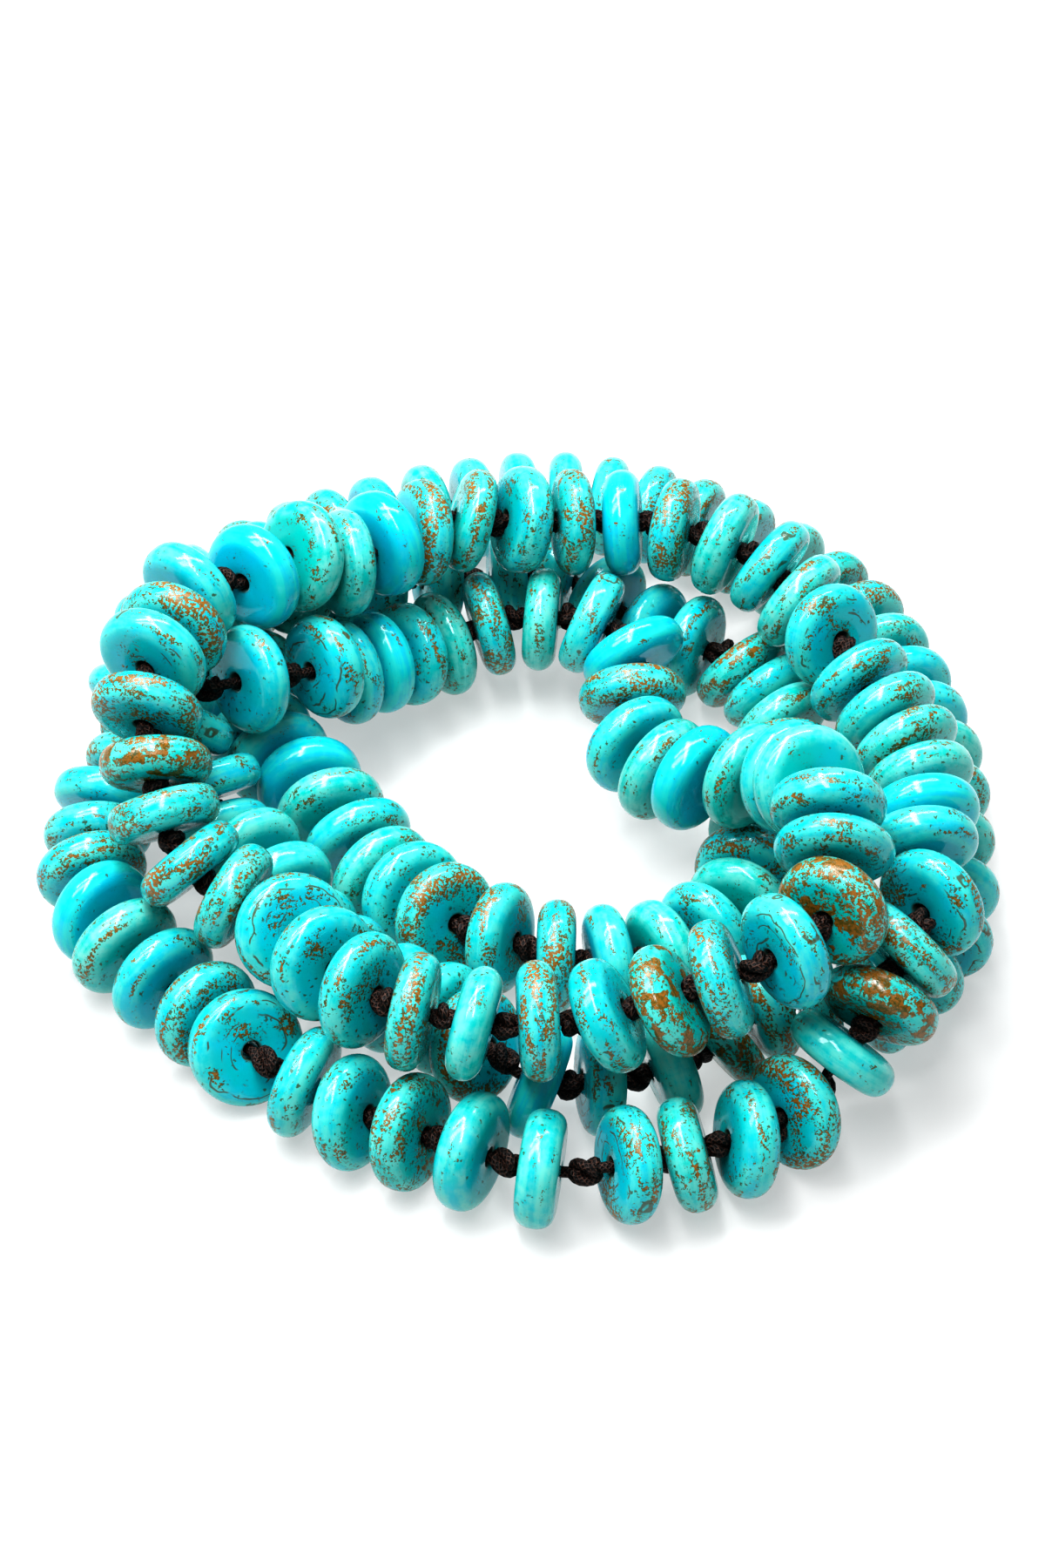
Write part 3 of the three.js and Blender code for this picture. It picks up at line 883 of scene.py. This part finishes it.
@dataclass
class StoneDiscs:
    """The turquoise discs, each a closed ring of stone with a drilled hole.

    Seen from its edge a disc is a flat slab with a round rim. No two are quite alike.
    """

    coil: Coil
    finish: StoneFinish = StoneFinish()
    spread: StoneSpread = StoneSpread()
    hole: float = 0.00118
    lip: float = 0.0003
    lip_share: float = 0.3
    wall_share: float = 0.4
    face_ring: float = 0.42
    rim_angle: float = 84.0
    rim_rows: int = 15
    thinner: float = 0.0001
    wedge_share: float = 0.4
    round_within: float = 1.5
    sides: int = 44
    seed: int = 7

    def __post_init__(self) -> None:
        """Draws the small differences between the stones and makes their finish."""
        draw, spread, n = np.random.default_rng(self.seed), self.spread, BEAD_COUNT
        self.width = draw.uniform(*spread.width, n)
        self.plump = draw.uniform(*spread.plump, n)
        self.square = draw.uniform(*spread.square, n)
        self.flat = draw.uniform(*spread.flat, n)
        self.wedge = draw.normal(0.0, spread.usual_wedge, (n, 2)).clip(*spread.wedge)
        self.oval = draw.uniform(*spread.oval, n)
        self.oval_way = draw.uniform(0, 2 * np.pi, n)
        self.roll = draw.uniform(0, 2 * np.pi, n)
        self.offset = draw.uniform(*spread.pattern, (n, 3))
        self.looks = self.draw_looks(draw)
        self.material = self.finish.material()

    def draw_looks(self, draw: np.random.Generator) -> np.ndarray:
        """The markings of each stone: those that stand out by number, and the others at random.

        Args:
            draw: The source of chance.

        Returns:
            Six amounts for each stone, in the order of Marking.
        """
        kinds, odds = zip(*ODDS.items())
        looks = np.array([kinds[k].value for k in draw.choice(len(kinds), BEAD_COUNT, p=odds)])
        for marking, beads in MARKED.items():
            looks[list(beads)] = marking.value
        low, high = self.spread.amount
        return (looks * draw.uniform(low, high, looks.shape)).clip(0, high)

    def profile(self, beads: np.ndarray) -> tuple[np.ndarray, np.ndarray]:
        """The outline of half a cut disc, as radii and heights.

        The face is flat out to the shoulder at s. From there the rim follows
        r = s + (R - s) cos(a)^(2/p), z = h sin(a)^(2/p), which is a little squarer than an
        ellipse. Rings on the face lead in to a rounded lip and to the wall of the hole.

        Args:
            beads: The numbers of the discs.

        Returns:
            Radii and heights, each shaped (discs, rows).
        """
        large = (self.coil.diameter / 2 * self.width[beads])[:, None]
        half = (self.coil.thickness / 2 * self.plump[beads])[:, None]
        shoulder = large * self.flat[beads][:, None]
        power = 2 / self.square[beads][:, None]
        angles = np.radians(np.linspace(self.rim_angle, -self.rim_angle, self.rim_rows))[None]
        rim_r = shoulder + (large - shoulder) * np.cos(angles) ** power
        rim_z = half * np.sign(angles) * np.abs(np.sin(angles)) ** power

        ring = self.face_ring * self.coil.diameter / 2
        bevel = self.lip_share * self.lip
        lead_in = (self.hole, self.hole, self.hole + bevel, self.hole + self.lip, ring)
        upper_r = [radius * np.ones_like(half) for radius in lead_in]
        upper_z = [self.wall_share * half, half - self.lip, half - bevel, half, half]
        lower_r, lower_z = upper_r[::-1], [-z for z in upper_z[::-1]]
        radii = np.concatenate([*upper_r, rim_r, *lower_r], axis=1)
        heights = np.concatenate([*upper_z, rim_z, *lower_z], axis=1)
        return radii[:, ::-1], heights[:, ::-1]

    def build(self, turn: Turn) -> bpy.types.Object:
        """Makes the discs of a turn as one piece.

        A point of a disc is its middle + r cos(t) side + r sin(t) other + z facing. Beyond the
        hole r is a little oval, r (1 - o (1 + cos 2(t - w))), and z is drawn in by a little and
        by a wedge that grows from the middle.

        Args:
            turn: The turn of the coil.

        Returns:
            The piece.
        """
        beads = turn.beads
        radii, heights = self.profile(beads)
        theta = np.linspace(0, 2 * np.pi, self.sides, endpoint=False)[None, None, :]
        way = self.oval_way[beads][:, None, None]
        wide, tall = radii[:, :, None], heights[:, :, None]
        swell = 1 - self.oval[beads][:, None, None] * (1 + np.cos(2 * (theta - way)))
        r = wide * np.where(wide > self.hole * self.round_within, swell, 1.0)
        x, y = r * np.cos(theta), r * np.sin(theta)
        lean = self.wedge[beads][:, :, None, None]
        drawn_in = self.thinner + self.wedge_share * np.abs(x * lean[:, 0] + y * lean[:, 1])
        z = tall - tall / (self.coil.thickness / 2) * drawn_in
        facing = self.coil.facing[beads]
        level = unit(np.cross(facing, UP))
        side = turned(level, facing, self.roll[beads])
        other = np.cross(facing, side)
        spread = (slice(None), None, None, slice(None))
        points = self.coil.middles[beads][spread] + x[..., None] * side[spread]
        points = points + y[..., None] * other[spread] + z[..., None] * facing[spread]
        mesh = grid_mesh(f"stone_discs_{turn.label}", points)
        shape = points.shape[:3]
        local = np.stack([x, y, np.broadcast_to(z, shape)], axis=-1) * MILLIMETRES
        add_attribute(mesh, "disc_place", local)
        own = {"disc_seed": self.offset, "disc_look": self.looks[:, :3], "disc_tone": self.looks[:, 3:]}
        for name, values in own.items():
            add_attribute(mesh, name, np.broadcast_to(values[beads][spread], (*shape, 3)))
        return seat(mesh.name, mesh, self.material)


@dataclass
class KnottedCord:
    """The braided cord that runs through the discs, with an overhand knot in each gap."""

    coil: Coil
    finish: CordFinish = CordFinish()
    radius: float = 0.0007
    sides: int = 8
    gap_rows: int = 6
    knot_rows: int = 42
    knot_radius: float = 0.0019
    knot_shares: Triple = (0.4, 0.5, 0.6)
    knot_sizes: Spread = (0.92, 1.06)
    knot_lengths: Spread = (0.0018, 0.0040)
    knot_overlap: float = 0.0008
    knot_depth: float = 0.42
    knot_shift: float = 0.3
    strand: float = 0.0007
    inside: float = 0.9
    seed: int = 11

    def __post_init__(self) -> None:
        """Makes the cord's finish."""
        self.material = self.finish.material()

    def gap_curve(self, beads: np.ndarray, shares: np.ndarray) -> tuple[np.ndarray, np.ndarray]:
        """The cord's line in the gaps after discs, as a cubic that leaves and enters squarely.

        From the face of a disc to the face of the next one, with the gap m, it is
        p (2u^3-3u^2+1) + q (3u^2-2u^3) + m a (u^3-2u^2+u) + m b (u^3-u^2).

        Args:
            beads: The discs before the gaps.
            shares: Where to read the line, from 0 at the one face to 1 at the next.

        Returns:
            Points shaped (gaps, shares, 3) and the lengths of the gaps.
        """
        after = (beads + 1) % BEAD_COUNT
        a, b = self.coil.facing[beads], self.coil.facing[after]
        p = self.coil.middles[beads] + a * self.coil.rim
        q = self.coil.middles[after] - b * self.coil.rim
        gap = np.linalg.norm(q - p, axis=1)
        u = shares[None, :, None]
        a, b, p, q = (v[:, None] for v in (a, b, p, q))
        m = gap[:, None, None]
        line = p * (2 * u**3 - 3 * u**2 + 1) + q * (3 * u**2 - 2 * u**3)
        return line + m * a * (u**3 - 2 * u**2 + u) + m * b * (u**3 - u**2), gap

    def tube(self, line: np.ndarray, side: np.ndarray, radius: float) -> np.ndarray:
        """Rings round lines: c + radius (cos t n + sin t b), with n kept near a given side.

        Args:
            line: Points shaped (lines, rows, 3).
            side: A direction for each row, not along the line.
            radius: The tube's radius.

        Returns:
            Points shaped (lines, rows, sides, 3).
        """
        run = unit(np.gradient(line, axis=1))
        n = unit(side - run * np.sum(side * run, axis=-1, keepdims=True))
        b = np.cross(run, n)
        t = np.linspace(0, 2 * np.pi, self.sides, endpoint=False)[None, None, :, None]
        return line[:, :, None] + radius * (np.cos(t) * n[:, :, None] + np.sin(t) * b[:, :, None])

    def measure(self, points: np.ndarray) -> np.ndarray:
        """The way along each row of a tube in millimetres, and the share round, for its corners.

        Args:
            points: A tube's points, shaped (lines, rows, sides, 3).

        Returns:
            A block shaped (lines, rows + 1, sides + 1, 2).
        """
        middle = points.mean(axis=2)
        steps = np.linalg.norm(np.roll(middle, -1, axis=1) - middle, axis=-1)
        along = np.concatenate([np.zeros((len(steps), 1)), np.cumsum(steps, axis=1)], axis=1)
        around = np.linspace(0, 1, self.sides + 1)
        return np.stack(np.broadcast_arrays(along[:, :, None] * MILLIMETRES, around[None, None]), axis=-1)

    def cord(self, turn: Turn) -> bpy.types.Mesh:
        """The smooth run of a turn's cord: short closed lengths from hole to hole.

        Each length starts inside a disc and ends inside the next one, where its caps are unseen.

        Args:
            turn: The turn of the coil.

        Returns:
            The mesh.
        """
        beads = turn.beads
        line, _ = self.gap_curve(beads, np.linspace(0, 1, self.gap_rows))
        after = (beads + 1) % BEAD_COUNT
        start = line[:, :1] - self.coil.facing[beads][:, None] * self.coil.rim * self.inside
        end = line[:, -1:] + self.coil.facing[after][:, None] * self.coil.rim * self.inside
        line = np.concatenate([start, line, end], axis=1)
        side = unit(np.cross(self.coil.facing[beads], UP))[:, None]
        tube = self.tube(line, side, self.radius)
        tips = line[:, [0, -1], None] + 0 * tube[:, :2]
        closed = np.concatenate([tips[:, :1], tube, tips[:, 1:]], axis=1)
        return grid_mesh(f"cord_{turn.label}", closed, self.measure(closed))

    def knots(self, turn: Turn) -> bpy.types.Mesh:
        """The knots of a turn: a cord wound twice round and three times through itself.

        Round the cord's line it is ((R + r cos 3t) cos 2t, (R + r cos 3t) sin 2t, s sin 3t).

        Args:
            turn: The turn of the coil.

        Returns:
            The mesh.
        """
        beads = turn.beads
        draw = np.random.default_rng(self.seed + int(beads[0]))
        line, gap = self.gap_curve(beads, np.array(self.knot_shares))
        axis = unit(line[:, 2] - line[:, 0])
        side = unit(np.cross(axis, UP))
        side = turned(side, axis, draw.uniform(0, 2 * np.pi, len(beads)))
        other = np.cross(axis, side)
        t = np.linspace(0, 2 * np.pi, self.knot_rows, endpoint=False)[None]
        size = draw.uniform(*self.knot_sizes, len(beads))[:, None]
        inner = (self.knot_radius - self.strand) * size
        deep = self.knot_depth * inner
        shift = draw.uniform(-self.knot_shift, self.knot_shift, (len(beads), 1))
        ring = inner - deep + deep * np.cos(3 * t + shift)
        length = np.clip(gap + self.knot_overlap, *self.knot_lengths)[:, None] * size
        z = (length / 2 - self.strand) * np.sin(3 * t)
        x, y = ring * np.cos(2 * t), ring * np.sin(2 * t)
        path = line[:, 1:2] + x[..., None] * side[:, None] + y[..., None] * other[:, None]
        path = path + z[..., None] * axis[:, None]
        wrapped = np.concatenate([path[:, -1:], path, path[:, :1]], axis=1)
        tube = self.tube(wrapped, wrapped - line[:, 1:2], self.strand)[:, 1:-1]
        return grid_mesh(f"knots_{turn.label}", tube, self.measure(tube))

    def build(self, turn: Turn) -> list[bpy.types.Object]:
        """Makes the cord and the knots of a turn.

        Args:
            turn: The turn of the coil.

        Returns:
            The two pieces.
        """
        meshes = (self.cord(turn), self.knots(turn))
        return [seat(mesh.name, mesh, self.material) for mesh in meshes]


class Lamp(NamedTuple):
    """A soft box: its name, where it hangs, its width and depth, and its watts."""

    name: str
    place: Triple
    size: Spread
    watts: float


@dataclass(frozen=True)
class Studio:
    """The white table, the lamps and the camera.

    The camera looks down from the front. The lamps are two long strips overhead, a box at the left
    and a pale sky. The table glows a little, so that it comes out nearly white.
    """

    camera_place: Triple = (0.00056, -0.37398, 0.34770)
    camera_aim: Triple = (0.00056, 0.00107, 0.010)
    lens: float = 86.8
    sensor: float = 36.0
    sight: Spread = (0.01, 20.0)
    half_table: float = 4.0
    table: Colour = (0.29, 0.29, 0.29, 1.0)
    table_rough: float = 0.9
    table_shine: float = 0.2
    glow: float = 0.37
    white: Colour = (1.0, 1.0, 1.0, 1.0)
    sky: float = 0.26
    sky_colour: Colour = (0.93, 0.98, 1.0, 1.0)
    lamp_aim: Triple = (0.0, 0.0, 0.01)
    lamps: tuple[Lamp, ...] = (
        Lamp("strip_front", (-0.08, -0.01, 0.60), (0.85, 0.10), 4.1),
        Lamp("strip_back", (-0.08, 0.20, 0.58), (0.85, 0.08), 3.3),
        Lamp("side_box", (-0.26, -0.10, 0.52), (0.14, 0.42), 1.8),
    )

    def hang(self, name: str, data: bpy.types.ID, place: Triple, aim: Triple) -> bpy.types.Object:
        """Hangs a lamp or a camera, turned towards a point.

        Args:
            name: Its name.
            data: The lamp or the camera.
            place: Where it hangs.
            aim: What it is turned towards.

        Returns:
            The new object.
        """
        holder = bpy.data.objects.new(name, data)
        holder.location = place
        holder.rotation_euler = (Vector(aim) - Vector(place)).to_track_quat("-Z", "Y").to_euler()
        bpy.context.scene.collection.objects.link(holder)
        return holder

    def lay_table(self) -> None:
        """Lays a plain white table under the necklace."""
        half = self.half_table
        corners = [(-half, -half, 0), (half, -half, 0), (half, half, 0), (-half, half, 0)]
        mesh = bpy.data.meshes.new("table")
        mesh.from_pydata(corners, [], [(0, 1, 2, 3)])
        paper = {"Base Color": self.table, "Roughness": self.table_rough}
        gloss = {"Specular IOR Level": self.table_shine}
        glow = {"Emission Color": self.white, "Emission Strength": self.glow}
        mesh.materials.append(Board("white_table").surface({**paper, **gloss, **glow}))
        table = bpy.data.objects.new("table", mesh)
        bpy.context.scene.collection.objects.link(table)

    def light(self) -> None:
        """Lights the table: two strips and a box for the highlights, and a pale sky for the rest."""
        world = bpy.data.worlds.new("pale_sky")
        world.use_nodes = True
        back = world.node_tree.nodes["Background"]
        back.inputs["Color"].default_value = self.sky_colour
        back.inputs["Strength"].default_value = self.sky
        bpy.context.scene.world = world
        for lamp in self.lamps:
            box = bpy.data.lights.new(lamp.name, "AREA")
            box.shape = "RECTANGLE"
            box.size, box.size_y = lamp.size
            box.energy = lamp.watts
            self.hang(lamp.name, box, lamp.place, self.lamp_aim)

    def place_camera(self) -> None:
        """Places the camera and sets how the picture shows its light."""
        camera = bpy.data.cameras.new("camera")
        camera.lens, camera.sensor_width = self.lens, self.sensor
        camera.clip_start, camera.clip_end = self.sight
        scene = bpy.context.scene
        scene.camera = self.hang("camera", camera, self.camera_place, self.camera_aim)
        scene.view_settings.view_transform = "Standard"
        scene.view_settings.look = "High Contrast"


def main() -> None:
    """Builds the necklace turn by turn, and the table, lamps and camera."""
    logging.basicConfig(level=logging.INFO, format="%(message)s")
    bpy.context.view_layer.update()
    studio = Studio()
    studio.place_camera()
    studio.lay_table()
    studio.light()
    coil = Coil()
    discs = StoneDiscs(coil)
    cord = KnottedCord(coil)
    for turn in Turn:
        stones = discs.build(turn)
        cord.build(turn)
        if turn is Turn.OUTER:
            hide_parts("bead_string_lower")
        if turn is Turn.MIDDLE:
            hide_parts("bead_string_upper")


if __name__ == "__main__":
    main()
